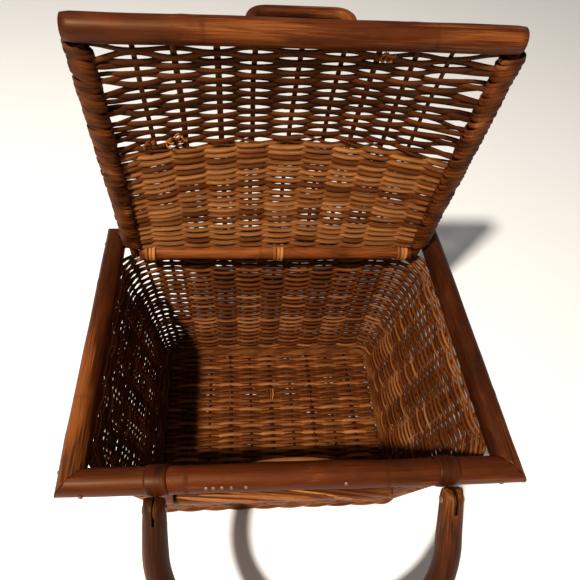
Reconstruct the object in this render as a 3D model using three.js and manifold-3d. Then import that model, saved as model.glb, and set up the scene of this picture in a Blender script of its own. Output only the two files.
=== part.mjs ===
// Wicker picnic basket with a hinged, domed lid and two swinging bow handles.
// Millimetres. X runs left to right, Y front to rear, Z up. The origin is the
// middle of the flat underside, which stands on the floor.
import * as THREE from "three";
import { mergeVertices } from "three/addons/utils/BufferGeometryUtils.js";
import Module from "manifold-3d";

const wasm = await Module();
wasm.setup();

// Driving dimensions
const GAP = 0.3; // air between pieces that touch
const RIM_W = 400; // outside width of the rim frame
const RIM_D = 302; // outside depth of the rim frame
const RIM_R = 11.5; // radius of a rim pole
const RIM_Z = 222; // height of the rim poles' centrelines
const BASE_W = 301; // width between the foot rolls' centrelines
const BASE_D = 219; // depth between the foot rolls' centrelines
const BASE_T = 10; // thickness of the woven base
const ROLL_R = 7; // radius of a foot roll
const WALL_T = 7; // thickness of the woven wall
const CORNER_TOP = 42; // radius of the wall's corners under the rim
const CORNER_FOOT = 18; // radius of the wall's corners at the foot
const STICK_R = 2.7; // radius of a base stick
const STICKS = 5;
const LID_L = 256.4; // hinge pole centreline to front pole centreline
const LID_W = 351; // width over the wrapped side edges
const LID_T = 6; // thickness of the woven lid panel
const LID_DOME = 22; // height of the dome in the middle
const LID_OPEN = 86.3; // degrees from flat, where the lid is held open
const HINGE_R = 8; // radius of the hinge pole
const HINGE_IN = 22; // hinge axis in front of the rear rim's centreline
const FRONT_POLE_R = 10; // radius of the lid's front pole
const FRONT_POLE_L = 338; // length of the lid's front pole
const FRONT_POLE_X = -3; // middle of the lid's front pole
const WRAP_R = 10.5; // radius of the wrapped side edges
const EDGE_R = 5; // radius of the stick inside each wrapped edge
const HANDLE_R = 11; // radius of a bow handle
const HANDLE_HALF = 124.3; // half the distance between a handle's legs
const HANDLE_LEG = 41.7; // straight stretch of a leg
const HANDLE_BOW = 107.9; // rise of the bow past the legs
const HANDLE_X = 6.6; // middle of both handles
const HANDLE_OUT = 23; // handle pivot outside the rim's centreline
const TONGUE_R = 7; // radius of a leg's thinned end
const TONGUE_L = 40; // length over which a leg thins
const FRONT_DROP = 45.1; // degrees that the front handle hangs below level
const REAR_DROP = 80; // degrees that the rear handle hangs below level
const BAND_T = 1.6; // thickness of a cane band
const BAND_W = 18; // width of a handle's band
const LUG_T = 6; // thickness of a band's lug
const LUG_R = 5.5; // radius of a lug's end
const PIN_R = 2.4; // radius of a handle pin
const LASH_T = 2.2; // thickness of a hinge lashing
const LASH_W = 12; // width of a hinge lashing
const LASH_X = [-147, 0, 147];
const LIFT_R = 4.5; // radius of the lift handle
const LIFT_HALF = 38; // half the width of the lift handle
const LIFT_H = 30; // its bar above the front pole's centreline
const LIFT_BEND = 13; // bend radius of its shoulders

const halfX = RIM_W / 2 - RIM_R;
const halfY = RIM_D / 2 - RIM_R;
const hingeY = halfY - HINGE_IN;
const pivotY = halfY + HANDLE_OUT;
const rad = THREE.MathUtils.degToRad;

const cane = (color, roughness) => new THREE.MeshStandardMaterial({ color, roughness, metalness: 0 });
const poleCane = cane(0x7a4526, 0.38);
const wovenCane = cane(0x8f5a34, 0.55);
const splitCane = cane(0xa8733f, 0.5);
const nailSteel = new THREE.MeshStandardMaterial({ color: 0x3a3430, roughness: 0.5, metalness: 0.9 });

const group = new THREE.Group();

function addPiece(name, geometry, material, parent = group) {
  const mesh = new THREE.Mesh(geometry, material);
  mesh.name = name;
  parent.add(mesh);
  return mesh;
}

function toSolid(geometry) {
  const bare = new THREE.BufferGeometry();
  const flat = geometry.index ? geometry.toNonIndexed() : geometry;
  bare.setAttribute("position", flat.getAttribute("position"));
  const merged = mergeVertices(bare, 1e-4);
  return new wasm.Manifold(
    new wasm.Mesh({
      numProp: 3,
      vertProperties: merged.attributes.position.array,
      triVerts: new Uint32Array(merged.index.array),
    }),
  );
}

function toGeometry(solid) {
  const mesh = solid.getMesh();
  const geometry = new THREE.BufferGeometry();
  geometry.setAttribute("position", new THREE.BufferAttribute(mesh.vertProperties, 3));
  geometry.setIndex(new THREE.BufferAttribute(mesh.triVerts, 1));
  return geometry;
}

// Moves every vertex of a geometry by a function of its place.
function reshape(geometry, move) {
  const position = geometry.getAttribute("position");
  const point = new THREE.Vector3();
  for (let i = 0; i < position.count; i++) {
    point.fromBufferAttribute(position, i);
    move(point);
    position.setXYZ(i, point.x, point.y, point.z);
  }
  return geometry;
}

// A round rod along X.
function rodX(radius, length, sides = 16) {
  return new THREE.CylinderGeometry(radius, radius, length, sides).rotateZ(-Math.PI / 2);
}

// An outline in (y, z) drawn out along X by the given width, centred on x = 0.
function slabX(shape, width) {
  const geometry = new THREE.ExtrudeGeometry(shape, { depth: width, bevelEnabled: false, curveSegments: 8 });
  geometry.translate(0, 0, -width / 2);
  return geometry.rotateX(Math.PI / 2).rotateZ(Math.PI / 2);
}

function circlePath(y, z, radius) {
  return new THREE.Path().absarc(y, z, radius, 0, Math.PI * 2, true);
}

// The belt round two circles on the line z = 0: radius a at y = 0, radius b at y = reach.
function beltShape(a, b, reach) {
  const tilt = Math.acos((a - b) / reach);
  const shape = new THREE.Shape();
  shape.absarc(0, 0, a, tilt, Math.PI * 2 - tilt, false);
  shape.absarc(reach, 0, b, -tilt, tilt, false);
  return shape;
}

// Rim: four poles mitred at the corners.
function rimPole(name, length, place, turn) {
  const end = length / 2;
  const geometry = reshape(rodX(RIM_R, length), (p) => {
    p.x = Math.sign(p.x) * (end - p.y - GAP / 2);
  });
  addPiece(name, geometry.rotateZ(turn).translate(place.x, place.y, RIM_Z), poleCane);
}

function addRim() {
  rimPole("rim_front", 2 * halfX, { x: 0, y: -halfY }, 0);
  rimPole("rim_rear", 2 * halfX, { x: 0, y: halfY }, Math.PI);
  rimPole("rim_right", 2 * halfY, { x: halfX, y: 0 }, Math.PI / 2);
  rimPole("rim_left", 2 * halfY, { x: -halfX, y: 0 }, -Math.PI / 2);
}

// Walls: a leaning sheet whose plan is a rounded rectangle that grows with height.
function planAt(z) {
  const share = (z - ROLL_R) / (RIM_Z - ROLL_R);
  return {
    hx: THREE.MathUtils.lerp(BASE_W / 2, halfX, share),
    hy: THREE.MathUtils.lerp(BASE_D / 2, halfY, share),
    r: THREE.MathUtils.lerp(CORNER_FOOT, CORNER_TOP, share),
  };
}

const wallFoot = 2 * ROLL_R + GAP;
const wallHead = RIM_Z - RIM_R - BAND_T - 3 * GAP;

// A box of unit size mapped to one stretch of the wall.
function wallPiece(name, steps, at) {
  const geometry = reshape(new THREE.BoxGeometry(1, 1, 1, steps, 1, 1), (p) => {
    const z = THREE.MathUtils.lerp(wallFoot, wallHead, p.z + 0.5);
    at(p, planAt(z), p.x + 0.5, p.y * WALL_T);
    p.z = z;
  });
  addPiece(name, geometry, wovenCane);
}

function addWalls() {
  const alongX = (side) => (p, plan, u, t) => {
    p.x = (u - 0.5) * 2 * (plan.hx - plan.r - GAP / 2) * -side;
    p.y = side * (plan.hy - t);
  };
  const alongY = (side) => (p, plan, u, t) => {
    p.y = (u - 0.5) * 2 * (plan.hy - plan.r - GAP / 2) * side;
    p.x = side * (plan.hx - t);
  };
  wallPiece("wall_front", 1, alongX(-1));
  wallPiece("wall_rear", 1, alongX(1));
  wallPiece("wall_right", 1, alongY(1));
  wallPiece("wall_left", 1, alongY(-1));
  const corners = [
    ["wall_corner_rear_right", 1, 1, 0],
    ["wall_corner_rear_left", -1, 1, 1],
    ["wall_corner_front_left", -1, -1, 2],
    ["wall_corner_front_right", 1, -1, 3],
  ];
  for (const [name, sx, sy, quarter] of corners) {
    wallPiece(name, 6, (p, plan, u, t) => {
      const margin = GAP / 2 / plan.r;
      const angle = quarter * (Math.PI / 2) + THREE.MathUtils.lerp(margin, Math.PI / 2 - margin, u);
      p.x = sx * (plan.hx - plan.r) + (plan.r - t) * Math.cos(angle);
      p.y = sy * (plan.hy - plan.r) + (plan.r - t) * Math.sin(angle);
    });
  }
}

function roundedRect(hx, hy, r) {
  const shape = new THREE.Shape();
  shape.absarc(hx - r, hy - r, r, 0, Math.PI / 2, false);
  shape.absarc(r - hx, hy - r, r, Math.PI / 2, Math.PI, false);
  shape.absarc(r - hx, r - hy, r, Math.PI, 1.5 * Math.PI, false);
  shape.absarc(hx - r, r - hy, r, 1.5 * Math.PI, 2 * Math.PI, false);
  return shape;
}

// Base: a woven mat with its sticks inside, and a rolled border all round.
function addBase() {
  const inset = ROLL_R + GAP;
  const outline = roundedRect(BASE_W / 2 - inset, BASE_D / 2 - inset, CORNER_FOOT - inset);
  const mat = new THREE.ExtrudeGeometry(outline, { depth: BASE_T, bevelEnabled: false, curveSegments: 3 });
  let solid = toSolid(mat);
  const length = BASE_D - 2 * inset;
  const spacing = (BASE_W - 2 * inset) / STICKS;
  for (let i = 0; i < STICKS; i++) {
    const x = (i - (STICKS - 1) / 2) * spacing;
    const channel = new THREE.CylinderGeometry(STICK_R + GAP, STICK_R + GAP, length + 2, 12);
    solid = solid.subtract(toSolid(channel.translate(x, 0, BASE_T / 2)));
    const stick = new THREE.CylinderGeometry(STICK_R, STICK_R, length, 12).translate(x, 0, BASE_T / 2);
    addPiece(`base_stick_${i + 1}`, stick, poleCane);
  }
  addPiece("base_mat", toGeometry(solid), wovenCane);
}

// A rod bent through 45 degrees at both ends, so four of them close a rounded rectangle.
function footRoll(name, half, place, turn) {
  const bend = CORNER_FOOT;
  const straight = half - bend;
  const arc = (bend * Math.PI) / 4;
  const cut = GAP / 2;
  const steps = 16;
  const reach = straight + arc - cut;
  const rod = new THREE.CylinderGeometry(ROLL_R, ROLL_R, 2 * reach, 12, steps).rotateZ(-Math.PI / 2);
  const geometry = reshape(rod, (p) => {
    const share = p.x / reach;
    const travel = Math.sign(share) * Math.min(Math.abs(share) * (steps / (steps - 4)) * straight, straight);
    const past = Math.max(Math.abs(share) - (steps - 4) / steps, 0) * (steps / 4) * (Math.PI / 4);
    const angle = past * (1 - cut / arc);
    const radius = bend - p.y;
    p.x = travel + Math.sign(share) * radius * Math.sin(angle);
    p.y = bend - radius * Math.cos(angle);
  });
  addPiece(name, geometry.rotateZ(turn).translate(place.x, place.y, ROLL_R), wovenCane);
}

function addFootRolls() {
  footRoll("foot_roll_front", BASE_W / 2, { x: 0, y: -BASE_D / 2 }, 0);
  footRoll("foot_roll_rear", BASE_W / 2, { x: 0, y: BASE_D / 2 }, Math.PI);
  footRoll("foot_roll_right", BASE_D / 2, { x: BASE_W / 2, y: 0 }, Math.PI / 2);
  footRoll("foot_roll_left", BASE_D / 2, { x: -BASE_W / 2, y: 0 }, -Math.PI / 2);
}

// Front trim: the bound strip under the rim, the lath inside it and the closing peg.
function addFrontTrim() {
  const bindDeep = 6.5;
  const bindHigh = 8.5;
  const bindLeft = -105;
  const bindRight = 86;
  const bindY = -halfY - 9.2;
  const bindZ = RIM_Z - 17.6;
  const bind = rodX(1, bindRight - bindLeft).scale(1, bindDeep, bindHigh);
  addPiece("front_binding", bind.translate((bindLeft + bindRight) / 2, bindY, bindZ), splitCane);

  const pegR = 3;
  const pegLength = 14;
  const pegX = -33;
  const pegZ = bindZ - bindHigh - GAP - pegLength / 2;
  const peg = new THREE.CylinderGeometry(pegR, pegR * 0.7, pegLength, 12).rotateX(Math.PI / 2);
  addPiece("closing_peg", peg.translate(pegX, bindY, pegZ), poleCane);

  const lathHalf = 46;
  const lathZ = RIM_Z - 8;
  const lathY = -halfY + 11.2;
  const bow = new THREE.QuadraticBezierCurve3(
    new THREE.Vector3(-lathHalf, lathY, lathZ),
    new THREE.Vector3(0, lathY + 10, lathZ + 2),
    new THREE.Vector3(lathHalf, lathY, lathZ),
  );
  const section = new THREE.Shape().absellipse(0, 0, 2, 2.4, 0, Math.PI * 2, false, 0);
  const lath = new THREE.ExtrudeGeometry(section, {
    extrudePath: bow,
    steps: 12,
    curveSegments: 4,
    bevelEnabled: false,
  });
  addPiece("inner_lath", lath, splitCane);
}

// A bow in the (x, y) plane: two legs that start at y = -tail and a half ellipse between them.
class BowCurve extends THREE.Curve {
  constructor(half, leg, rise, tail) {
    super();
    Object.assign(this, { half, leg, rise, tail });
  }
  getPoint(t, target = new THREE.Vector3()) {
    const leg = this.leg + this.tail;
    const arc = (Math.PI * (this.half + this.rise)) / 2;
    const walk = t * (2 * leg + arc);
    if (walk < leg) return target.set(-this.half, walk - this.tail, 0);
    if (walk > leg + arc) return target.set(this.half, 2 * leg + arc - walk - this.tail, 0);
    const turn = ((walk - leg) / arc) * Math.PI;
    return target.set(-this.half * Math.cos(turn), this.leg + this.rise * Math.sin(turn), 0);
  }
}

// A bow handle in its own plane, legs towards y = 0 where its pins are.
function handleGeometry() {
  const tail = 5;
  const slotT = LUG_T + 2 * GAP;
  const slotDepth = LUG_R + 2 * GAP;
  const section = new THREE.Shape().absarc(0, 0, HANDLE_R, 0, Math.PI * 2, false);
  const bow = new THREE.ExtrudeGeometry(section, {
    extrudePath: new BowCurve(HANDLE_HALF, HANDLE_LEG, HANDLE_BOW, tail),
    steps: 48,
    curveSegments: 6,
    bevelEnabled: false,
  });
  reshape(bow, (p) => {
    if (p.y > TONGUE_L) return;
    const share = (p.y + tail) / (TONGUE_L + tail);
    const factor = THREE.MathUtils.lerp(TONGUE_R / HANDLE_R, 1, share);
    const legX = Math.sign(p.x) * HANDLE_HALF;
    p.x = legX + (p.x - legX) * factor;
    p.z *= factor;
  });
  let solid = toSolid(bow);
  for (const side of [-1, 1]) {
    const slot = new THREE.BoxGeometry(slotT, slotDepth + 2 * tail, 4 * HANDLE_R);
    slot.translate(side * HANDLE_HALF, slotDepth / 2 - tail, 0);
    const bore = rodX(PIN_R + GAP, 4 * HANDLE_R, 12).translate(side * HANDLE_HALF, 0, 0);
    solid = solid.subtract(toSolid(slot)).subtract(toSolid(bore));
  }
  return toGeometry(solid);
}

// Each handle swings on two pins, held by a cane band round the rim pole.
function addHandle(end, side, drop) {
  const handle = addPiece(`${end}_handle`, handleGeometry(), poleCane);
  handle.position.set(HANDLE_X, side * pivotY, RIM_Z);
  handle.rotation.x = side < 0 ? Math.PI + rad(drop) : -rad(drop);

  const ring = new THREE.Shape().absarc(0, 0, RIM_R + GAP + BAND_T, 0, Math.PI * 2, false);
  ring.holes.push(circlePath(0, 0, RIM_R + GAP));
  const lug = beltShape(LUG_R + GAP, LUG_R, HANDLE_OUT);
  lug.holes.push(circlePath(HANDLE_OUT, 0, PIN_R + GAP));
  const bore = rodX(RIM_R + GAP, 2 * BAND_W);
  const band = toSolid(slabX(ring, BAND_W)).add(toSolid(slabX(lug, LUG_T)).subtract(toSolid(bore)));
  ["left", "right"].forEach((name, i) => {
    const x = HANDLE_X + (2 * i - 1) * HANDLE_HALF;
    const bandMesh = addPiece(`${end}_band_${name}`, toGeometry(band), splitCane);
    bandMesh.position.set(x, side * halfY, RIM_Z);
    bandMesh.rotation.z = side < 0 ? Math.PI : 0;
    const pin = rodX(PIN_R, 2 * TONGUE_R + 3, 12).translate(x, side * pivotY, RIM_Z);
    addPiece(`${end}_pin_${name}`, pin, nailSteel);
  });
}

// Lid, in a turned group: x across, y along the lid from the hinge, z out of its inner face.
function domeAt(x, s) {
  const across = 1 - (x / (LID_W / 2)) ** 2;
  return LID_DOME * across * Math.sin((Math.PI * s) / LID_L);
}

function addLid() {
  const lid = new THREE.Group();
  lid.position.set(0, hingeY, RIM_Z);
  lid.rotation.set(rad(180 - LID_OPEN), 0, 0);
  group.add(lid);

  const edgeX = LID_W / 2 - WRAP_R;
  const hingePole = rodX(HINGE_R, 2 * (edgeX - EDGE_R - GAP));
  addPiece("lid_hinge_pole", hingePole, poleCane, lid);
  const frontPole = rodX(FRONT_POLE_R, FRONT_POLE_L).translate(FRONT_POLE_X, LID_L, 0);
  addPiece("lid_front_pole", frontPole, poleCane, lid);

  const edgeStart = -5;
  const edgeEnd = LID_L - FRONT_POLE_R - GAP;
  const wrapStart = 14;
  const wrapEnd = edgeEnd - 2;
  for (const [name, side] of [["left", -1], ["right", 1]]) {
    const stick = new THREE.CylinderGeometry(EDGE_R, EDGE_R, edgeEnd - edgeStart, 12);
    stick.translate(side * edgeX, (edgeStart + edgeEnd) / 2, 0);
    addPiece(`lid_edge_stick_${name}`, stick, poleCane, lid);
    const profile = [
      new THREE.Vector2(EDGE_R + GAP, wrapStart),
      new THREE.Vector2(WRAP_R, wrapStart),
      new THREE.Vector2(WRAP_R, wrapEnd),
      new THREE.Vector2(EDGE_R + GAP, wrapEnd),
      new THREE.Vector2(EDGE_R + GAP, wrapStart),
    ];
    const wrap = new THREE.LatheGeometry(profile, 16).translate(side * edgeX, 0, 0);
    addPiece(`lid_edge_wrap_${name}`, wrap, wovenCane, lid);
  }

  const panelHalf = edgeX - WRAP_R - GAP;
  const panelStart = 13;
  const panelEnd = LID_L - FRONT_POLE_R - 2 * GAP;
  const panel = reshape(new THREE.BoxGeometry(1, 1, 1, 10, 10, 1), (p) => {
    const x = p.x * 2 * panelHalf;
    const s = THREE.MathUtils.lerp(panelStart, panelEnd, p.y + 0.5);
    p.set(x, s, p.z * LID_T - domeAt(x, s));
  });
  addPiece("lid_panel", panel, wovenCane, lid);
  addLift(lid);
}

// Lift handle: a bent cane that stands on the outside of the front pole.
function addLift(lid) {
  const foot = FRONT_POLE_R + GAP;
  const knee = LIFT_H - LIFT_BEND;
  const shoulder = LIFT_HALF - LIFT_BEND;
  const at = (x, height) => new THREE.Vector3(x, 0, -height);
  const path = new THREE.CurvePath();
  path.add(new THREE.LineCurve3(at(-LIFT_HALF, foot), at(-LIFT_HALF, knee)));
  path.add(new THREE.QuadraticBezierCurve3(at(-LIFT_HALF, knee), at(-LIFT_HALF, LIFT_H), at(-shoulder, LIFT_H)));
  path.add(new THREE.LineCurve3(at(-shoulder, LIFT_H), at(shoulder, LIFT_H)));
  path.add(new THREE.QuadraticBezierCurve3(at(shoulder, LIFT_H), at(LIFT_HALF, LIFT_H), at(LIFT_HALF, knee)));
  path.add(new THREE.LineCurve3(at(LIFT_HALF, knee), at(LIFT_HALF, foot)));
  const section = new THREE.Shape().absarc(0, 0, LIFT_R, 0, Math.PI * 2, false);
  const lift = new THREE.ExtrudeGeometry(section, {
    extrudePath: path,
    steps: 28,
    curveSegments: 5,
    bevelEnabled: false,
  });
  addPiece("lift_handle", lift, poleCane, lid).position.set(0, LID_L, 0);
}

// Lashings: closed belts of cane that hold the hinge pole to the rear rim pole.
function addLashings() {
  const belt = beltShape(HINGE_R + GAP + LASH_T, RIM_R + GAP + LASH_T, HINGE_IN);
  belt.holes.push(new THREE.Path(beltShape(HINGE_R + GAP, RIM_R + GAP, HINGE_IN).getPoints(8)));
  LASH_X.forEach((x, i) => {
    const lashing = slabX(belt, LASH_W).translate(x, hingeY, RIM_Z);
    addPiece(`hinge_lashing_${["left", "middle", "right"][i]}`, lashing, splitCane);
  });
}

addRim();
addWalls();
addBase();
addFootRolls();
addFrontTrim();
addHandle("front", -1, FRONT_DROP);
addHandle("rear", 1, REAR_DROP);
addLashings();
addLid();

export default group;
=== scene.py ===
import math
import random

import bmesh
import bpy
import numpy as np
from mathutils import Matrix, Vector, noise


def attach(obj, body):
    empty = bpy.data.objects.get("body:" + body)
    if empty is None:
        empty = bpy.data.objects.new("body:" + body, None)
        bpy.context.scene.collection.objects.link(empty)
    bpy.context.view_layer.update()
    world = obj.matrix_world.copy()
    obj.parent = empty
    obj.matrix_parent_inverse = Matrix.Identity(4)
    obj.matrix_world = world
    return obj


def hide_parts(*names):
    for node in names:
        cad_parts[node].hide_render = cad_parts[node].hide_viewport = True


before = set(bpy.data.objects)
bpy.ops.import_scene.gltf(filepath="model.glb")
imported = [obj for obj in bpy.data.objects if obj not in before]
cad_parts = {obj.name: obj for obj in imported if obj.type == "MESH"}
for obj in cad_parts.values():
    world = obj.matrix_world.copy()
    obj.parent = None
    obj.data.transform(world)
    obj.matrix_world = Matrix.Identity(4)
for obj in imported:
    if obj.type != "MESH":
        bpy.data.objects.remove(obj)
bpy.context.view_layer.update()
print("frame loaded,", len(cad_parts), "nodes")

mm = 0.001
xAxis, yAxis, zAxis = Vector((1, 0, 0)), Vector((0, 1, 0)), Vector((0, 0, 1))

# overall sizes of the basket, in millimetres, the same as the frame's own
basket = {
    "halfX": 188.5,          # rim pole centrelines
    "halfY": 139.5,
    "rimZ": 222.0,
    "rimRadius": 11.5,
    "footX": 150.5,          # foot roll centrelines
    "footY": 109.5,
    "footZ": 7.0,
    "cornerFoot": 18.0,
    "cornerTop": 42.0,
    "hingeY": 117.5,
    "pivotY": 162.5,
    "longStakes": 9,
    "shortStakes": 6,
    "cornerStakes": 2,
}


def tint(red, green, blue):
    def linear(c):
        c /= 255
        return c / 12.92 if c <= 0.04045 else ((c + 0.055) / 1.055) ** 2.4
    return (linear(red), linear(green), linear(blue), 1.0)


# shader graph helpers: a Wire is one socket, a Graph is one material

class Wire:
    def __init__(self, graph, socket):
        self.graph, self.socket = graph, socket

    def __add__(self, other):
        return self.graph.maths("ADD", self, other)

    def __radd__(self, other):
        return self.graph.maths("ADD", other, self)

    def __sub__(self, other):
        return self.graph.maths("SUBTRACT", self, other)

    def __rsub__(self, other):
        return self.graph.maths("SUBTRACT", other, self)

    def __mul__(self, other):
        return self.graph.maths("MULTIPLY", self, other)

    def __rmul__(self, other):
        return self.graph.maths("MULTIPLY", other, self)

    def __truediv__(self, other):
        return self.graph.maths("DIVIDE", self, other)

    def __abs__(self):
        return self.graph.maths("ABSOLUTE", self, 0.0)

    def __pow__(self, other):
        return self.graph.maths("POWER", self, other)


class Graph:
    def __init__(self, name):
        self.material = bpy.data.materials.new(name)
        self.material.use_nodes = True
        self.tree = self.material.node_tree
        self.shader = self.tree.nodes["Principled BSDF"]

    def put(self, socket, value):
        if isinstance(value, Wire):
            self.tree.links.new(value.socket, socket)
        else:
            socket.default_value = value

    def node(self, kind, settings=None, inputs=None, output=0):
        made = self.tree.nodes.new(kind)
        for key, value in (settings or {}).items():
            if key == "stops":
                ramp = made.color_ramp
                while len(ramp.elements) < len(value):
                    ramp.elements.new(0.5)
                for element, (place, colour) in zip(ramp.elements, value):
                    element.position, element.color = place, colour
            else:
                setattr(made, key, value)
        for key, value in (inputs or {}).items():
            self.put(made.inputs[key], value)
        return Wire(self, made.outputs[output])

    def maths(self, operation, a, b):
        return self.node("ShaderNodeMath", {"operation": operation}, {0: a, 1: b})

    def clamp(self, value):
        return self.node("ShaderNodeClamp", {}, {0: value})

    def smooth(self, value, low, high):
        return self.node("ShaderNodeMapRange", {"interpolation_type": "SMOOTHSTEP"},
                         {0: value, 1: low, 2: high})

    def blend(self, share, a, b, how="MIX"):
        return self.node("ShaderNodeMix", {"data_type": "RGBA", "blend_type": how},
                         {0: share, 6: a, 7: b}, 2)

    def stretch(self, vector, x, y, z):
        return self.node("ShaderNodeVectorMath", {"operation": "MULTIPLY"},
                         {0: vector, 1: (x, y, z)})

    def cloud(self, vector, scale, detail=3.0, rough=0.55, warp=0.0):
        inputs = {"Vector": vector, "Scale": scale, "Detail": detail, "Roughness": rough,
                  "Distortion": warp}
        return self.node("ShaderNodeTexNoise", {}, inputs)

    def attribute(self, name, output):
        return self.node("ShaderNodeAttribute", {"attribute_name": name}, {}, output)

    def bump(self, height, strength, distance, under=None):
        inputs = {"Height": height, "Strength": strength, "Distance": distance}
        if under is not None:
            inputs["Normal"] = under
        return self.node("ShaderNodeBump", {}, inputs)

    def finish(self, values):
        for key, value in values.items():
            self.put(self.shader.inputs[key], value)
        return self.material


# materials; fibre holds metres along and across each cane, tone its own shade, which on the lid rows,
# lid stakes and band tongues also carries painted light and shade

glint = tint(255, 190, 130)

poleFinish = {
    "dark": tint(36, 10, 3), "mid": tint(80, 31, 8),
    "light": tint(150, 82, 32), "ring": tint(24, 8, 2),
    "streak": (22, 620, 620), "roughLow": 0.4, "roughHigh": 0.68, "ringGap": 0.17,
}


def poleMaterial(name, finish, paintedLighting=0.0):
    g = Graph(name)
    fibre = g.attribute("fibre", 1)
    tone = g.attribute("tone", 2)
    along = g.node("ShaderNodeSeparateXYZ", {}, {0: fibre})
    streaks = g.cloud(g.stretch(fibre, *finish["streak"]), 1.0, 4.0, 0.6, 0.3)
    mottle = g.cloud(g.stretch(fibre, 14, 60, 60), 1.0, 3.0, 0.6, 0.8)
    patches = g.cloud(g.stretch(fibre, 5, 22, 22), 1.0, 2.0, 0.5)
    pits = g.node("ShaderNodeTexVoronoi", {"feature": "F1"},
                  {"Vector": g.stretch(fibre, 120, 420, 420), "Scale": 1.0})
    # growth rings of the cane, a narrow dark band once in each ring gap
    phase = g.node("ShaderNodeMath", {"operation": "PINGPONG"},
                   {0: along + (mottle - 0.5) * 0.004, 1: finish["ringGap"] / 2})
    ringMask = 1 - g.smooth(phase, 0.0004, 0.0034)
    # the last term shifts the whole finish lighter or darker: painted light on the lit copy, painted
    # shade on the shaded copy
    depth = g.clamp(mottle * 0.75 + streaks * 0.5 + tone * 0.35 - 0.42 + paintedLighting)
    stops = [(0.12, finish["dark"]), (0.5, finish["mid"]), (0.88, finish["light"])]
    wood = g.node("ShaderNodeValToRGB", {"stops": stops}, {0: depth})
    worn = g.smooth(patches * 0.7 + streaks * 0.3, 0.52, 0.64)
    wood = g.blend(worn * 0.5, wood, finish["light"])
    wood = g.blend(g.smooth(patches, 0.46, 0.3) * 0.5, wood, finish["dark"])
    wood = g.blend(ringMask * 0.22, wood, finish["ring"])
    wood = g.blend((1 - g.smooth(pits, 0.03, 0.14)) * 0.35, wood, finish["ring"])
    spread = finish["roughHigh"] - finish["roughLow"]
    rough = g.clamp(finish["roughLow"] + streaks * spread + worn * 0.1 + ringMask * 0.2)
    height = streaks * 0.5 + mottle * 0.6 - ringMask * 0.4 - (1 - g.smooth(pits, 0.02, 0.12)) * 0.5
    normal = g.bump(height, 0.55, 0.0006)
    return g.finish({
        "Base Color": wood, "Roughness": rough, "Normal": normal,
        "Coat Weight": 0.03, "Coat Roughness": 0.3,
        "Specular IOR Level": 0.3, "Specular Tint": glint,
    })


strandFinish = {
    "dark": tint(46, 16, 4), "mid": tint(98, 48, 17),
    "light": tint(176, 112, 60), "edge": tint(28, 9, 3),
    "halfWide": 2.4 * mm,
}


def strandMaterial(name, finish, lift=0.0):
    g = Graph(name)
    fibre = g.attribute("fibre", 1)
    tone = g.attribute("tone", 2)
    across = g.node("ShaderNodeSeparateXYZ", {}, {0: fibre}, 2)
    grain = g.cloud(g.stretch(fibre, 34, 1500, 1500), 1.0, 3.0, 0.6, 0.2)
    mottle = g.cloud(g.stretch(fibre, 40, 160, 160), 1.0, 3.0, 0.6, 0.6)
    stain = g.cloud(g.node("ShaderNodeTexCoord", {}, {}, 3), 14.0, 3.0, 0.6)
    depth = g.clamp(tone * 0.62 + mottle * 0.55 + grain * 0.35 + stain * 0.3 - 0.48 + lift)
    stops = [(0.06, finish["dark"]), (0.45, finish["mid"]), (0.9, finish["light"])]
    cane = g.node("ShaderNodeValToRGB", {"stops": stops}, {0: depth})
    # painted shade: each strand darkens towards both edges, partly the real rounded edge and partly the
    # shade where it turns under its neighbours; the same dark colour also marks the flecks
    edge = g.smooth(abs(across), finish["halfWide"] * 0.62, finish["halfWide"] * 1.02)
    cane = g.blend(edge * 0.6, cane, finish["edge"])
    flecks = g.smooth(g.cloud(g.stretch(fibre, 90, 500, 500), 1.0, 2.0, 0.5), 0.68, 0.8)
    cane = g.blend(flecks * 0.5, cane, finish["edge"])
    rough = g.clamp(0.42 + grain * 0.26 + edge * 0.15)
    normal = g.bump(grain * 0.6 + mottle * 0.5, 0.5, 0.0004)
    return g.finish({
        "Base Color": cane, "Roughness": rough, "Normal": normal,
        "Specular IOR Level": 0.25, "Specular Tint": glint,
    })


def nailMaterial():
    g = Graph("nailIron")
    place = g.node("ShaderNodeTexCoord", {}, {}, 3)
    rust = g.cloud(place, 420.0, 4.0, 0.65)
    rusted = g.smooth(rust, 0.42, 0.64)
    iron = g.blend(rusted, tint(150, 112, 84), tint(84, 44, 22))
    return g.finish({"Base Color": iron, "Metallic": 0.85 - rusted * 0.6,
                     "Roughness": 0.38 + rust * 0.3, "Normal": g.bump(rust, 0.4, 0.0002)})


poleWood = poleMaterial("varnishedPole", poleFinish)
# a lighter copy of the finish: painted light, used on the brightly lit hinge pole
poleWoodLit = poleMaterial("varnishedPoleLit", poleFinish, 0.1)
# a darker copy of the finish: painted shade, used on the side and rear rims, base sticks, handles and
# bands
poleWoodShaded = poleMaterial("varnishedPoleShaded", poleFinish, -0.13)
weaveCane = strandMaterial("wovenCane", strandFinish)
lidCane = strandMaterial("lidCane", strandFinish, 0.05)
splitCane = strandMaterial("splitCane", dict(strandFinish, halfWide=6 * mm), 0.2)
nailIron = nailMaterial()
print("materials made")


# sweeping a cane along a line

def newCane(name):
    bm = bmesh.new()
    bm.verts.layers.float_vector.new("fibre")
    bm.verts.layers.float.new("tone")
    return bm


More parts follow.
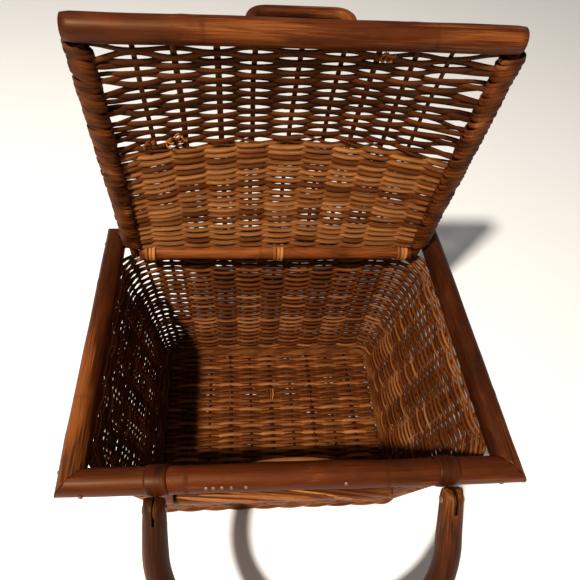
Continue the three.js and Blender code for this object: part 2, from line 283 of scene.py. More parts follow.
def sweepCane(bm, points, halfWide, halfThick, up, sides=8, closed=False, tone=0.5, shift=0.0,
              swell=None, sideSwell=None):
    # a straight grid is rolled into a tube and laid along the points; widths run along up
    count = len(points)
    columns = count if closed else count - 1
    made = bmesh.ops.create_grid(bm, x_segments=columns, y_segments=sides, size=0.5)["verts"]
    pts = np.array([tuple(p) for p in points], float)
    if closed:
        tangent = np.roll(pts, -1, 0) - np.roll(pts, 1, 0)
    else:
        tangent = np.gradient(pts, axis=0)
    tangent /= np.linalg.norm(tangent, axis=1)[:, None]
    ups = np.array([tuple(u) for u in (up if isinstance(up, list) else [up] * count)], float)
    side = np.cross(tangent, ups)
    side /= np.linalg.norm(side, axis=1)[:, None]
    ups = np.cross(side, tangent)
    steps = np.linalg.norm(np.diff(pts, axis=0), axis=1)
    reach = np.concatenate([[0], np.cumsum(steps)])
    if closed:
        reach = np.concatenate([reach, [reach[-1] + np.linalg.norm(pts[0] - pts[-1])]])
    fibreLayer, toneLayer = bm.verts.layers.float_vector["fibre"], bm.verts.layers.float["tone"]
    angles = [2 * math.pi * j / sides for j in range(sides + 1)]
    cosines, sines = [math.cos(a) for a in angles], [math.sin(a) for a in angles]
    cosines[-1], sines[-1] = cosines[0], sines[0]
    for v in made:
        i = round((v.co.x + 0.5) * columns)
        j = round((v.co.y + 0.5) * sides)
        k = i % count if closed else i
        grow = swell[k] if swell is not None else 1.0
        sideGrow = sideSwell[k] if sideSwell is not None else grow
        thick, wide = cosines[j] * halfThick * sideGrow, sines[j] * halfWide * grow
        place = (pts[k] + side[k] * thick + ups[k] * wide) * mm
        v.co = place
        v[fibreLayer] = (reach[i] * mm + shift, thick * mm, wide * mm)
        v[toneLayer] = tone


def finishCane(bm, name, material, body, nodes=()):
    bmesh.ops.remove_doubles(bm, verts=bm.verts, dist=0.00001)
    bmesh.ops.holes_fill(bm, edges=[e for e in bm.edges if e.is_boundary], sides=0)
    bmesh.ops.recalc_face_normals(bm, faces=bm.faces)
    for face in bm.faces:
        face.smooth = len(face.verts) <= 4
    mesh = bpy.data.meshes.new(name)
    bm.to_mesh(mesh)
    bm.free()
    piece = bpy.data.objects.new(name, mesh)
    bpy.context.scene.collection.objects.link(piece)
    mesh.materials.append(material)
    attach(piece, body)
    if nodes:
        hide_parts(*nodes)
    print(name, len(mesh.polygons), "faces")
    return piece


def wander(seed, place, size):
    return noise.noise(Vector((place, seed * 7.31, seed * 1.7))) * size


def drift(across, up, seed, size):
    # a slow shift that neighbouring rows share
    return noise.noise(Vector((across, up, seed * 3.7))) * size


# rim poles, mitred at the corners

rim = {"sides": 28, "step": 6.0, "wobble": 0.9, "lump": 0.035, "jointEvery": 170.0, "jointSwell": 0.03,
       "jointLong": 3.5, "spare": 14.0}


def polePoints(start, end, seed, settings, bow=1.0):
    length = (Vector(end) - Vector(start)).length
    count = max(6, int(length / settings["step"]))
    points, swell = [], []
    for i in range(count + 1):
        share = i / count
        place = Vector(start).lerp(Vector(end), share)
        reach = share * length
        off = Vector([wander(seed + k, reach / 90, 1) for k in (0, 3, 5)])
        points.append(place + off * settings["wobble"] * bow)
        fromJoint = reach % settings["jointEvery"] - settings["jointEvery"] / 2
        joint = math.exp(-(fromJoint / settings["jointLong"]) ** 2)
        swell.append(1 + wander(seed + 9, reach / 40, settings["lump"]) + joint * settings["jointSwell"])
    return points, swell


def addRimPole(name, side, seed):
    bm = newCane(name)
    long = side in ("front", "rear")
    half = basket["halfX"] if long else basket["halfY"]
    out = {"front": -yAxis, "rear": yAxis, "left": -xAxis, "right": xAxis}[side]
    run = Vector((-out.y, out.x, 0))
    middle = out * (basket["halfY"] if long else basket["halfX"]) + zAxis * basket["rimZ"]
    reach = run * (half + rim["spare"])
    points, swell = polePoints(middle - reach, middle + reach, seed, rim, 0.6)
    sweepCane(bm, points, basket["rimRadius"], basket["rimRadius"], zAxis, rim["sides"],
              shift=seed * 0.37, swell=swell)
    bmesh.ops.remove_doubles(bm, verts=bm.verts, dist=0.00001)
    for end in (-1, 1):
        corner = (middle + run * half * end) * mm
        cut = (run * end - out).normalized()
        everything = list(bm.verts) + list(bm.edges) + list(bm.faces)
        bmesh.ops.bisect_plane(bm, geom=everything, plane_co=corner - cut * 0.12 * mm, plane_no=cut,
                               clear_outer=True)
    # the front pole keeps the plain finish; the other three take the darker copy, painted shade
    wood = poleWood if side == "front" else poleWoodShaded
    return finishCane(bm, name, wood, "basket", ["rim_" + side])


for number, side in enumerate(("front", "rear", "left", "right")):
    addRimPole("rimPole" + side.title(), side, number + 2)


def weaveWave(t, row):
    # over one stake and under the next, a little flattened at the turns
    wave = math.sin(math.pi * t) * (-1) ** row
    return wave * (1.2 - 0.2 * wave * wave)


# the woven walls: stakes and strands on a plan that widens upwards

walls = {
    "firstRow": 21.0, "lastRow": 209.0, "pitch": 4.1,
    "halfWide": 3.1, "halfThick": 1.5, "swing": 2.6,
    "stakeWide": 2.1, "stakeThick": 1.3, "stakeFoot": 9.0, "stakeHead": 214.0,
    "thin": 0.16, "thinFrom": 0.82, "thinOver": 0.3, "perStake": 5, "seed": 11,
}


def planPoint(z, t):
    share = (z - basket["footZ"]) / (basket["rimZ"] - basket["footZ"])
    hx = basket["footX"] + (basket["halfX"] - basket["footX"]) * share
    hy = basket["footY"] + (basket["halfY"] - basket["footY"]) * share
    r = basket["cornerFoot"] + (basket["cornerTop"] - basket["cornerFoot"]) * share
    total = 2 * (basket["longStakes"] + basket["shortStakes"]) + 4 * basket["cornerStakes"]
    t %= total
    for quarter in range(4):
        long = quarter % 2 == 0
        stakes = basket["longStakes"] if long else basket["shortStakes"]
        half = (hx if long else hy) - r
        far = hy if long else hx
        along = Vector((math.cos(quarter * math.pi / 2), math.sin(quarter * math.pi / 2), 0))
        normal = Vector((along.y, -along.x, 0))
        if t <= stakes:
            return along * (t / stakes * 2 - 1) * half + normal * far + zAxis * z, normal
        t -= stakes
        if t <= basket["cornerStakes"]:
            turn = t / basket["cornerStakes"] * math.pi / 2
            centre = along * half + normal * (far - r)
            normal = normal * math.cos(turn) + along * math.sin(turn)
            return centre + normal * r + zAxis * z, normal
        t -= basket["cornerStakes"]
    return planPoint(z, 0)


stakeTotal = 2 * (basket["longStakes"] + basket["shortStakes"]) + 4 * basket["cornerStakes"]


def addWallWeave():
    dice = random.Random(walls["seed"])
    rows = int((walls["lastRow"] - walls["firstRow"]) / walls["pitch"]) + 1
    bm = newCane("wallWeave")
    for row in range(rows):
        height = walls["firstRow"] + row * walls["pitch"] + dice.uniform(-0.25, 0.25)
        wide = walls["halfWide"] * dice.uniform(0.84, 1.08)
        points, ups, swell = [], [], []
        for i in range(stakeTotal * walls["perStake"]):
            t = i / walls["perStake"]
            z = height + drift(t * 0.5, height / 26, 3, 2.0) + wander(row + 60, t * 1.1, 0.75)
            wave = weaveWave(t, row)
            place, normal = planPoint(z, t)
            above, _ = planPoint(z + 4, t)
            points.append(place + normal * wave * walls["swing"])
            ups.append(above - place)
            side = (abs(place.x) / basket["footX"] - walls["thinFrom"]) / walls["thinOver"]
            side = min(1.0, max(0.0, side))
            swell.append(1 - side * walls["thin"] * (1 + wander(row + 30, t * 0.9, 0.8)))
        tone = dice.uniform(0.15, 0.85)
        sweepCane(bm, points, wide, walls["halfThick"], ups, 6, True, tone, dice.uniform(0, 9), swell)
    wallNodes = ["wall_" + s for s in ("front", "rear", "left", "right")]
    wallNodes += ["wall_corner_" + s for s in ("front_left", "front_right", "rear_left", "rear_right")]
    finishCane(bm, "wallWeave", weaveCane, "basket", wallNodes)


def addWallStakes():
    dice = random.Random(walls["seed"] + 1)
    bm = newCane("wallStakes")
    for number in range(stakeTotal):
        points = []
        for i in range(13):
            z = walls["stakeFoot"] + (walls["stakeHead"] - walls["stakeFoot"]) * i / 12
            place, normal = planPoint(z, number + 0.5)
            points.append(place + normal * wander(number, z / 40, 0.5))
        _, normal = planPoint(100, number + 0.5)
        grow = dice.uniform(0.92, 1.12)
        sweepCane(bm, points, walls["stakeThick"] * grow, walls["stakeWide"] * grow, normal, 8, False,
                  dice.uniform(0.0, 0.4), dice.uniform(0, 9))
    finishCane(bm, "wallStakes", weaveCane, "basket")


addWallWeave()
addWallStakes()


# the foot: a rope of three rods, and a waling above it

foot = {
    "ropeRadius": 3.0, "rodRadius": 4.0, "turn": 96.0, "rods": 3, "steps": 260,
    "walingZ": 17.6, "walingRadius": 1.9, "walingRod": 2.3, "walingTurn": 60.0, "seed": 23,
}


def addRope(name, z, ropeRadius, rodRadius, turn, nodes, seed):
    dice = random.Random(seed)
    bm = newCane(name)
    count = foot["steps"]
    ring = [planPoint(z, stakeTotal * i / count) for i in range(count)]
    lengths = [0.0]
    for i in range(count):
        lengths.append(lengths[-1] + (ring[(i + 1) % count][0] - ring[i][0]).length)
    turns = round(lengths[-1] / turn)
    for rod in range(foot["rods"]):
        points = []
        for i, (place, normal) in enumerate(ring):
            angle = 2 * math.pi * (turns * lengths[i] / lengths[-1] + rod / foot["rods"])
            off = normal * math.cos(angle) + zAxis * math.sin(angle)
            points.append(place + off * ropeRadius)
        tone = dice.uniform(0.2, 0.8)
        sweepCane(bm, points, rodRadius, rodRadius, zAxis, 10, True, tone, dice.uniform(0, 9))
    finishCane(bm, name, weaveCane, "basket", nodes)


addRope("footRope", basket["footZ"], foot["ropeRadius"], foot["rodRadius"], foot["turn"],
        ["foot_roll_" + s for s in ("front", "rear", "left", "right")], foot["seed"])
addRope("upsetWaling", foot["walingZ"], foot["walingRadius"], foot["walingRod"], foot["walingTurn"],
        [], foot["seed"] + 1)


# the base: sticks front to back, strands across them

base = {
    "halfX": 144.0, "halfY": 102.6, "z": 5.2, "pitch": 4.1, "swing": 2.231, "steps": 80,
    "halfWide": 3.0, "halfThick": 1.6, "seed": 31,
    "sticks": 9, "stickGap": 28.64, "stickReach": 103.0, "stickRadius": 2.4,
    "thickStick": 1.25, "thinStick": 0.7,
}


def addBase():
    dice = random.Random(base["seed"])
    bm = newCane("baseWeave")
    rows = int(2 * base["halfY"] / base["pitch"]) + 1
    for row in range(rows):
        y0 = -base["halfY"] + row * base["pitch"] + dice.uniform(-0.2, 0.2)
        points = []
        for i in range(base["steps"] + 1):
            x = -base["halfX"] + 2 * base["halfX"] * i / base["steps"]
            t = x / base["stickGap"] + 4.5
            y = y0 + drift(t * 0.6, y0 / 30, 9, 1.8) + wander(row + 80, t * 1.2, 0.5)
            points.append((x, y, base["z"] + weaveWave(t, row) * base["swing"]))
        wide, tone = base["halfWide"] * dice.uniform(0.9, 1.1), dice.uniform(0.15, 0.95)
        sweepCane(bm, points, wide, base["halfThick"], yAxis, 8, False, tone, dice.uniform(0, 9))
    # one strand has split and lifted
    for split in range(3):
        points, swell = [], [0.4, 0.8, 1, 1, 1, 1, 0.9, 0.7, 0.3]
        for i in range(len(swell)):
            x = -4 + 3 * split + 2 * math.sin(i / 3)
            points.append((x, 28 + 2.4 * i, 8.4 + 0.5 * math.sin(i / 2.5)))
        sweepCane(bm, points, 1.2, 0.7, xAxis, 6, False, 0.2 + 0.4 * split, split, swell)
    finishCane(bm, "baseWeave", weaveCane, "basket", ["base_mat"])
    for number in range(base["sticks"]):
        name, thick = "baseStick%d" % (number + 1), number % 2 == 0
        bm = newCane(name)
        x = (number - 4) * base["stickGap"]
        top, reach = base["z"] + (0.5 if thick else 0.0), base["stickReach"]
        start, end, settings = (x, -reach, top), (x, reach, top), dict(rim, step=12.0)
        points, swell = polePoints(start, end, number + 40, settings, 0.4)
        radius = base["stickRadius"] * (base["thickStick"] if thick else base["thinStick"])
        sweepCane(bm, points, radius, radius, zAxis, 12, False, 0.0, number * 0.3, swell)
        nodes = ["base_stick_%d" % (number // 2 + 1)] if thick else []
        # the sticks take the darker copy of the pole finish, painted shade so they read as dark grooves
        finishCane(bm, name, poleWoodShaded, "basket", nodes)


addBase()


# the lid, laid out flat in its own frame and swung up on the hinge

lid = {
    "open": 86.3, "length": 256.4, "width": 351.0, "dome": 22.0,
    "stakes": [-126.5, -96.7, -63.6, -34.8, 0.3, 33.5, 60.7, 91.2, 118.0],
    "stakeWide": 2.2, "stakeThick": 1.3, "edgeX": 165.0, "edgeRadius": 5.0,
    "firstRow": 8.5, "lastRow": 243.0, "pitch": 3.45, "arch": 9.0,
    "looseFrom": 137.0, "loosePitch": 4.75, "crossGap": 1.5, "crossStep": 5.4,
    "crossWide": 1.1, "crossRise": 3.2, "narrow": 0.05, "seed": 51,
    "halfWide": 3.4, "halfThick": 1.7, "swing": 2.2,
    "looseHalfWide": 2.8, "looseHalfThick": 1.1, "looseSwing": 2.6,
    "ends": [(-126, 147, 20), (-97, 156, 140), (-112, 150, 250), (66, 243, 200)],
    "coilPitch": 3.7, "coilHalfWide": 2.3, "coilHalfThick": 1.0, "coilFrom": 15.0,
    "coilX": 9.6, "coilZ": 6.8, "coilLean": 5.5,
}
lidPlace = (Matrix.Translation((0, basket["hingeY"], basket["rimZ"]))
            @ Matrix.Rotation(math.radians(180 - lid["open"]), 4, "X"))
lidUp = lidPlace.to_3x3() @ yAxis
lidIn = lidPlace.to_3x3() @ zAxis


def lidPoint(x, s, h=0.0):
    across = 1 - min(1.0, (x / (lid["width"] / 2)) ** 2)
    dome = lid["dome"] * across * math.sin(math.pi * min(max(s / lid["length"], 0), 1))
    return lidPlace @ Vector((x, s, h - dome))


def lidNarrow(x, s):
    # the lid is a little narrower at the hinge
    return x * (1 - lid["narrow"] + lid["narrow"] * s / lid["length"])


def lidRows():
    s, rows = lid["firstRow"], []
    while s < lid["lastRow"]:
        loose = s > lid["looseFrom"]
        rows.append((s, "loose" if loose else "tight"))
        s += lid["loosePitch"] if loose else lid["pitch"]
        if not loose and s > lid["looseFrom"]:
            # a pair of thin crossing strands where the loose rows begin
            rows += [(s + lid["crossGap"], 1), (s + lid["crossGap"], -1)]
            s += lid["crossStep"]
    return rows


def addLidWeave():
    dice = random.Random(lid["seed"])
    bm = newCane("lidWeave")
    knotsT = [-0.5] + [k + 0.5 for k in range(len(lid["stakes"]))] + [len(lid["stakes"]) + 0.5]
    knotsX = [-lid["edgeX"] + 4] + lid["stakes"] + [lid["edgeX"] - 4]
    for row, (height, kind) in enumerate(lidRows()):
        loose, cross = kind != "tight", kind if kind in (1, -1) else 0
        if loose:
            wide = lid["looseHalfWide"] * dice.uniform(0.7, 1.12)
            thick, swing = lid["looseHalfThick"], lid["looseSwing"]
        else:
            wide = lid["halfWide"] * dice.uniform(0.93, 1.07)
            thick, swing = lid["halfThick"], lid["swing"]
        wide = lid["crossWide"] if cross else wide
        # painted light and shade: the loose upper rows take dark tones and the tight lower rows light
        # ones, for the light that falls on the lower half of the dished lid
        tone = dice.uniform(-0.2, 0.25) if loose else dice.uniform(0.15, 1.1)
        points = []
        total = knotsT[-1] - knotsT[0]
        count = int(total * 6)
        tilt = dice.uniform(-0.6, 0.6)
        for i in range(count + 1):
            t = knotsT[0] + total * i / count
            x = float(np.interp(t, knotsT, knotsX))
            edge = max(0.0, 1 - min(t - knotsT[0], knotsT[-1] - t))
            pair = (1 - row % 3) * (3.4 if loose else 1.6)
            s = height + drift(t * 0.5, height / 24, 5, 2.6)
            s += wander(row + 90, t * 1.1, 1.1 if loose else 0.7)
            s += edge * edge * pair + tilt * (t / total - 0.5)
            s += cross * lid["crossRise"] * math.cos(math.pi * t)
            arch = math.sin(math.pi * min(s / lid["length"], 1))
            s += lid["arch"] * arch * (0.45 - (x / lid["edgeX"]) ** 2)
            across = lidNarrow(x, max(s, edge * lid["length"]))
            points.append(lidPoint(across, s, weaveWave(t, row) * swing))
        sweepCane(bm, points, wide, thick, lidUp, 8, False, tone, dice.uniform(0, 9))
    # cut ends and curls where a strand was joined in
    for x, s, turn in lid["ends"]:
        for curl in range(3):
            bend, rise = math.radians(turn + 55 * curl), dice.uniform(3.0, 5.0)
            points = []
            for i in range(9):
                q = i / 8
                away = 6.5 * math.sin(2.2 * q)
                along, up = away * math.cos(bend + q), away * math.sin(bend + q)
                points.append(lidPoint(x + along, s + up, 2.0 + rise * q))
            sweepCane(bm, points, 1.3, 0.7, lidUp, 6, False, 0.75, dice.uniform(0, 9))
    finishCane(bm, "lidWeave", lidCane, "lid", ["lid_panel"])

    bm = newCane("lidStakes")
    for number, x in enumerate(lid["stakes"]):
        points = []
        for i in range(19):
            s = 3 + (lid["length"] - 6) * i / 18
            points.append(lidPoint(lidNarrow(x, s) + wander(number + 20, s / 60, 1.2), s))
        grow = dice.uniform(0.85, 1.2)
        # painted shade: the lid stakes take the darkest tones, for the shadow they lie in
        wide, thick, tone = lid["stakeWide"] * grow, lid["stakeThick"] * grow, dice.uniform(0.0, 0.2)
        sweepCane(bm, points, wide, thick, xAxis, 8, False, tone, dice.uniform(0, 9))
    finishCane(bm, "lidStakes", weaveCane, "lid")


def addLidEdges():
    for name, side in (("left", -1), ("right", 1)):
        dice = random.Random(lid["seed"] + 5 + side)
        bm = newCane("edgeStick")
        spots = [(side * lid["edgeX"], -5 + (lid["length"] - 5.5) * i / 24, 0) for i in range(25)]
        points = [lidPlace @ Vector(spot) for spot in spots]
        sweepCane(bm, points, lid["edgeRadius"], lid["edgeRadius"], xAxis, 12, False, 0.3, 2.2)
        stick = "lidEdgeStick" + name.title()
        finishCane(bm, stick, poleWood, "lid", ["lid_edge_stick_" + name])

        bm = newCane("edgeCoil")
        perTurn, s, points = 12, lid["coilFrom"], []
        while s < lid["length"] - lid["coilFrom"]:
            step = lid["coilPitch"] * dice.uniform(0.6, 1.4)
            push, tip = dice.uniform(-0.7, 0.7), dice.uniform(0.5, 1.4)
            for i in range(perTurn):
                a = side * 2 * math.pi * i / perTurn
                lean = lid["coilLean"] * tip * math.cos(a) * side
                x = side * lid["edgeX"] + (lid["coilX"] + push) * math.cos(a)
                z = (lid["coilZ"] + push * 0.5) * math.sin(a)
                points.append(lidPlace @ Vector((x, s + step * i / perTurn + lean, z)))
            s += step
        sweepCane(bm, points, lid["coilHalfWide"], lid["coilHalfThick"], lidUp, 8, False, 0.55, 1.0)
        toneLayer = bm.verts.layers.float["tone"]
        for v in bm.verts:
            v[toneLayer] = 0.05 + noise.noise(v.co * 90) * 0.7
        coil = "lidEdgeCoil" + name.title()
        finishCane(bm, coil, lidCane, "lid", ["lid_edge_wrap_" + name])


lidPoles = {"frontLeft": -172.0, "frontRight": 166.0, "frontRadius": 10.0,
            "hingeHalf": 159.0, "hingeRadius": 8.0}
lift = {"half": 38.0, "height": 30.0, "bend": 13.0, "radius": 4.5, "foot": 9.0}


def lidPolePoints(left, right, s, seed, bend):
    return polePoints(lidPlace @ Vector((left, s, 0)), lidPlace @ Vector((right, s, 0)), seed, rim, bend)


def addLidPoles():
    bm = newCane("lidFrontPole")
    radius = lidPoles["frontRadius"]
    points, swell = lidPolePoints(lidPoles["frontLeft"], lidPoles["frontRight"], lid["length"], 71, 0.6)
    swell[0] = swell[-1] = 0.93
    sweepCane(bm, points, radius, radius, lidUp, 28, False, 0.45, 3.3, swell)
    finishCane(bm, "lidFrontPole", poleWood, "lid", ["lid_front_pole"])

    bm = newCane("lidHingePole")
    radius = lidPoles["hingeRadius"]
    points, swell = lidPolePoints(-lidPoles["hingeHalf"], lidPoles["hingeHalf"], 0, 74, 0.3)
    # painted light: the hinge pole gets a high tone and the lighter copy of the pole finish, for the
    # bright light on it
    sweepCane(bm, points, radius, radius, lidUp, 24, False, 0.75, 5.3, swell)
    finishCane(bm, "lidHingePole", poleWoodLit, "lid", ["lid_hinge_pole"])

    bm = newCane("liftBow")
    line, straight = [], lift["height"] - lift["bend"] - lift["foot"]
    for i in range(8):
        line.append((-lift["half"], lift["foot"] + straight * i / 7))
    for i in range(1, 9):
        q = i / 8
        x = -lift["half"] + lift["bend"] * q * q
        h = lift["height"] - lift["bend"] * (1 - q) ** 2
        line.append((x, h))
    flat = lift["half"] - lift["bend"]
    line += [(-lift["half"] + lift["bend"] + flat * i / 6, lift["height"]) for i in range(1, 7)]
    line += [(-x, h) for x, h in reversed(line[:-1])]
    points = [lidPlace @ Vector((x, lid["length"], -h)) for x, h in line]
    sweepCane(bm, points, lift["radius"], lift["radius"], lidUp, 16, False, 0.2, 4.4)
    finishCane(bm, "liftBow", poleWood, "lid", ["lift_handle"])


addLidWeave()
addLidEdges()
addLidPoles()


# bow handles, their bands and pins

bow = {
    "half": 124.3, "leg": 41.7, "rise": 107.9, "x": 6.6, "radius": 11.0,
    "tip": 9.3, "taper": 40.0, "tail": 9.8, "calmOver": 60.0,
    "jointEvery": 165.0, "jointLong": 4.0, "jointSwell": 0.05,
    "slot": 1.1, "slotDepth": 9.2, "slotLong": 22.0, "slotHigh": 30.0,
    "frontDrop": 45.1, "rearDrop": 80.0,
}


def bowPlace(side):
    turn = math.pi + math.radians(bow["frontDrop"]) if side < 0 else -math.radians(bow["rearDrop"])
    pivot = Matrix.Translation((bow["x"], side * basket["pivotY"], basket["rimZ"]))
    return pivot @ Matrix.Rotation(turn, 4, "X")


def addBow(end, side, seed):
    points, swell, sideSwell, place = [], [], [], bowPlace(side)
    arc = math.pi * (bow["half"] + bow["rise"]) / 2
    leg = bow["leg"] + bow["tail"]
    total = 2 * leg + arc
    tip = bow["tip"] / bow["radius"]
    walks = [bow["tail"] * (1 - math.cos(math.pi * i / 16)) for i in range(8)]
    count = 96
    middle = [bow["tail"] + (total - 2 * bow["tail"]) * i / count for i in range(count + 1)]
    for walk in walks + middle + [total - w for w in reversed(walks)]:
        if walk < leg:
            x, y = -bow["half"], walk - bow["tail"]
        elif walk > leg + arc:
            x, y = bow["half"], total - walk - bow["tail"]
        else:
            turn = (walk - leg) / arc * math.pi
            x, y = -bow["half"] * math.cos(turn), bow["leg"] + bow["rise"] * math.sin(turn)
        near = min(walk, total - walk)
        calm = min(1.0, near / bow["calmOver"])
        bend = [wander(seed + k, walk / 80, size) for k, size in ((0, 1.6), (2, 1.6), (4, 1.2))]
        points.append(place @ (Vector((x, y, 0)) + Vector(bend) * calm))
        thin = tip + (1 - tip) * min(1.0, near / (bow["taper"] + bow["tail"]))
        barrel = math.sqrt(max(0.0, 1 - max(0.0, 1 - near / bow["tail"]) ** 2))
        fromJoint = (walk + 60) % bow["jointEvery"] - 82
        joint = math.exp(-(fromJoint / bow["jointLong"]) ** 2) * bow["jointSwell"] * calm
        thin = thin * (1 + wander(seed + 6, walk / 45, 0.05) * calm) + joint
        swell.append(thin * max(0.12, barrel))
        sideSwell.append(thin * (0.92 + 0.08 * barrel))
    bm = newCane(end)
    normal = place.to_3x3() @ zAxis
    sweepCane(bm, points, bow["radius"], bow["radius"], normal, 28, False, 0.1, seed * 0.21,
              swell, sideSwell)
    # the handle takes the darker copy of the pole finish, painted shade
    piece = finishCane(bm, end + "Bow", poleWoodShaded, end + "_handle", [end + "_handle"])
    # the slot for the band's tongue in each leg
    cutter = bmesh.new()
    for legSide in (-1, 1):
        box = bmesh.ops.create_cube(cutter, size=1.0)["verts"]
        size = (2 * bow["slot"], bow["slotLong"], bow["slotHigh"])
        bmesh.ops.scale(cutter, vec=size, verts=box)
        middle = (legSide * bow["half"], bow["slotDepth"] - bow["slotLong"] / 2, 0)
        bmesh.ops.translate(cutter, vec=middle, verts=box)
    bmesh.ops.transform(cutter, matrix=Matrix.Scale(mm, 4) @ place, verts=cutter.verts)
    cutMesh = bpy.data.meshes.new("slotCutter")
    cutter.to_mesh(cutMesh)
    cutter.free()
    cutPiece = bpy.data.objects.new("slotCutter", cutMesh)
    bpy.context.scene.collection.objects.link(cutPiece)
    cut = piece.modifiers.new("slot", "BOOLEAN")
    cut.operation, cut.solver, cut.object = "DIFFERENCE", "EXACT", cutPiece
    bpy.context.view_layer.update()
    depsgraph = bpy.context.evaluated_depsgraph_get()
    slotted = bpy.data.meshes.new_from_object(piece.evaluated_get(depsgraph))
    piece.modifiers.clear()
    piece.data = slotted
    bpy.data.objects.remove(cutPiece)


band = {"halfWide": 9.4, "halfThick": 0.9, "gap": 0.8, "steps": 40,
        "tongueHigh": 7.8, "tongueThick": 0.95}
pin = {"radius": 2.4, "reach": (-10.1, -9.9, -9.2, -9.1, 0, 9.1, 9.2, 9.9, 10.1),
       "swell": [0.4, 1.2, 1.5, 1, 1, 1, 1.5, 1.2, 0.4]}


def addBands(end, side):
    for name, legSide in (("left", -1), ("right", 1)):
        x = bow["x"] + legSide * bow["half"]
        middle = Vector((x, side * basket["halfY"], basket["rimZ"]))
        bm = newCane("band")
        ring, r = [], basket["rimRadius"] + band["gap"]
        for i in range(band["steps"]):
            a = 2 * math.pi * i / band["steps"]
            lean = 0.9 * math.sin(a * 2 + x)
            ring.append(middle + Vector((lean, r * math.cos(a), r * math.sin(a))))
        sweepCane(bm, ring, band["halfWide"], band["halfThick"], xAxis, 14, True, 0.4, x * 0.01)
        # the tongue ends in a disc round the pin, flush with the leg
        reach = [9.5, 12, 15, 19, 23, 25, 27, 28.7, 29.9, 30.6]
        tongue = [middle + Vector((0, side * y, 0)) for y in reach]
        centre, high = basket["pivotY"] - basket["halfY"], band["tongueHigh"]
        disc = [0.4, 0.4, 0.5, 0.8]
        disc += [math.sqrt(1 - max(0.0, (y - centre) / high) ** 2) for y in reach[4:]]
        # painted shade: the tongue takes the darkest tone so the lit slot reads as a dark seam
        sweepCane(bm, tongue, high, band["tongueThick"], zAxis, 14, False, 0.0, 0.3,
                  disc, [1] * len(reach))
        piece = end + "Band" + name.title()
        # the band takes the darker copy of the pole finish, painted shade
        finishCane(bm, piece, poleWoodShaded, "basket", [end + "_band_" + name])
        bm = newCane("pin")
        pivot = Vector((x, side * basket["pivotY"], basket["rimZ"]))
        shank = [pivot + Vector((h, 0, 0)) for h in pin["reach"]]
        sweepCane(bm, shank, pin["radius"], pin["radius"], zAxis, 16, False, 0.5, 0, pin["swell"])
        piece = end + "Pin" + name.title()
        finishCane(bm, piece, nailIron, "basket", [end + "_pin_" + name])


for end, side, seed in (("front", -1, 81), ("rear", 1, 88)):
    addBow(end, side, seed)
    addBands(end, side)


# hinge lashings: flat cane wound round both poles

lashing = {
    "x": {"left": -147.0, "middle": 0.0, "right": 147.0}, "turns": 3, "gap": 4.0, "steps": 44,
    "halfWide": 1.95, "halfThick": 0.9, "poleRadius": 8.3, "rimGap": 0.3, "lift": 1.1,
}


def beltPoint(share, grow):
    # a tight loop round two circles, hinge pole a and rim pole b
    a, b = lashing["poleRadius"] + grow, basket["rimRadius"] + lashing["rimGap"] + grow
    reach = basket["halfY"] - basket["hingeY"]
    tilt = math.acos((a - b) / reach)
    arcA, arcB = 2 * (math.pi - tilt) * a, 2 * tilt * b
    straight = math.sqrt(reach * reach - (a - b) ** 2)
    walk = share * (arcA + arcB + 2 * straight)
    if walk < arcA:
        turn = tilt + walk / a
        return a * math.cos(turn), a * math.sin(turn)
    walk -= arcA
    low = 2 * math.pi - tilt
    start = Vector((a * math.cos(low), a * math.sin(low)))
    end = Vector((reach + b * math.cos(low), b * math.sin(low)))
    if walk < straight:
        p = start.lerp(end, walk / straight)
        return p.x, p.y
    walk -= straight
    if walk < arcB:
        turn = low + walk / b
        return reach + b * math.cos(turn), b * math.sin(turn)
    walk -= arcB
    p = Vector((end.x, -end.y)).lerp(Vector((start.x, -start.y)), walk / straight)
    return p.x, p.y


def addLashings():
    for name, x in lashing["x"].items():
        bm = newCane("lashing")
        for turn in range(lashing["turns"]):
            ring, off = [], (turn - 1) * lashing["gap"]
            for i in range(lashing["steps"]):
                y, z = beltPoint(i / lashing["steps"], lashing["lift"])
                lean = 0.7 * math.sin(2 * math.pi * i / lashing["steps"] + turn)
                ring.append(Vector((x + off + lean, basket["hingeY"] + y, basket["rimZ"] + z)))
            tone = 0.35 + 0.25 * turn
            sweepCane(bm, ring, lashing["halfWide"], lashing["halfThick"], xAxis, 8, True, tone, turn)
        piece = "hingeLashing" + name.title()
        finishCane(bm, piece, splitCane, "basket", ["hinge_lashing_" + name])


addLashings()


# front trim: bound strip, closing peg, inner lath, nails

trim = {
    "left": -105.0, "right": 86.0, "y": -149.6, "z": 202.2, "deep": 7.0, "high": 10.4,
    "ribbons": 8, "ribbonSpare": 62.0, "ribbonHalfWide": 4.2, "ribbonHalfThick": 1.3, "seed": 97,
}
peg = {"x": -33.0, "drop": 5.5, "long": 17.0, "swell": [1, 1.02, 1, 0.97, 0.94, 0.9, 0.84, 0.72, 0.35]}
lath = {"left": -46.0, "long": 92.0, "y": -128.3, "z": 214.0, "bow": 20.0, "rise": 4.0, "steps": 24}


